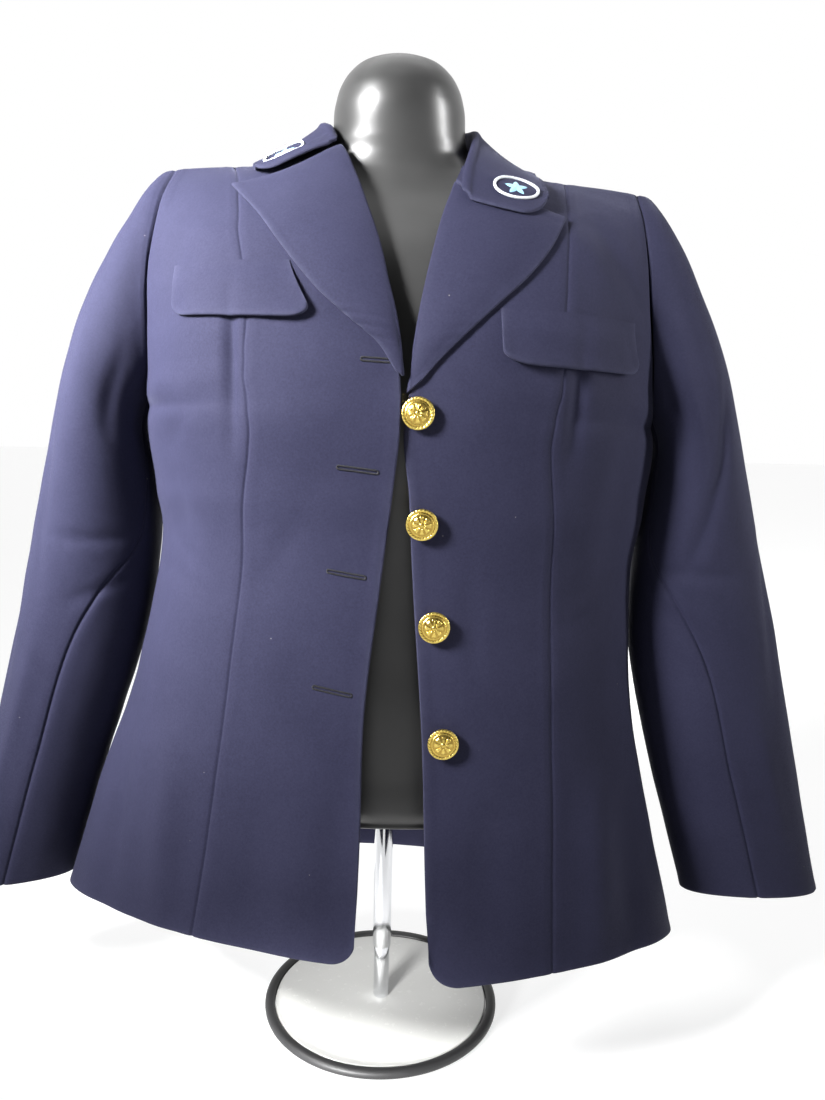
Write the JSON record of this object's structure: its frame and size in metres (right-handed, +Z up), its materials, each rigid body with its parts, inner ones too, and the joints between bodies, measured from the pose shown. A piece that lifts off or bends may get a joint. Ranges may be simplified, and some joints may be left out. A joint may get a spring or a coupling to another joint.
{
  "type": "naval uniform jacket on a dress form",
  "caption": "Women's tailored naval uniform jacket worn open by a limbless dress form on a pole stand with a round base.",
  "frame": {"origin": "centre of the round base's underside", "axes": "+Z up along the pole, -Y out of the jacket's front, +X to the wearer's left"},
  "size_m": [0.7736, 0.246, 0.817],
  "materials": {
    "front_centre_right": "dark navy wool worsted",
    "front_centre_left": "dark navy wool worsted",
    "front_side_right": "dark navy wool worsted",
    "front_side_left": "dark navy wool worsted",
    "back_right": "dark navy wool worsted",
    "back_left": "dark navy wool worsted",
    "lapel_right": "dark navy wool worsted",
    "lapel_left": "dark navy wool worsted",
    "collar": "dark navy wool worsted",
    "sleeve_top_right": "dark navy wool worsted",
    "sleeve_top_left": "dark navy wool worsted",
    "sleeve_under_right": "dark navy wool worsted",
    "sleeve_under_left": "dark navy wool worsted",
    "flap_right": "dark navy wool worsted",
    "flap_left": "dark navy wool worsted",
    "button_1": "polished gilt brass",
    "button_2": "polished gilt brass",
    "button_3": "polished gilt brass",
    "button_4": "polished gilt brass",
    "dress_form": "glossy black moulded shell",
    "pole_upper": "polished chrome",
    "pole_lower": "polished chrome",
    "base_plate": "pale grey gloss",
    "base_rim": "matte black"
  },
  "bodies": {
    "root": {"front_centre_right": "front_centre_right", "front_centre_left": "front_centre_left", "front_side_right": "front_side_right", "front_side_left": "front_side_left", "back_right": "back_right", "back_left": "back_left", "lapel_right": "lapel_right", "lapel_left": "lapel_left", "collar": "collar", "sleeve_top_right": "sleeve_top_right", "sleeve_top_left": "sleeve_top_left", "sleeve_under_right": "sleeve_under_right", "sleeve_under_left": "sleeve_under_left", "flap_right": "flap_right", "flap_left": "flap_left", "button_1": "button_1", "button_2": "button_2", "button_3": "button_3", "button_4": "button_4", "dress_form": "dress_form", "pole_upper": "pole_upper", "pole_lower": "pole_lower", "base_plate": "base_plate", "base_rim": "base_rim"}
  },
  "joints": []
}
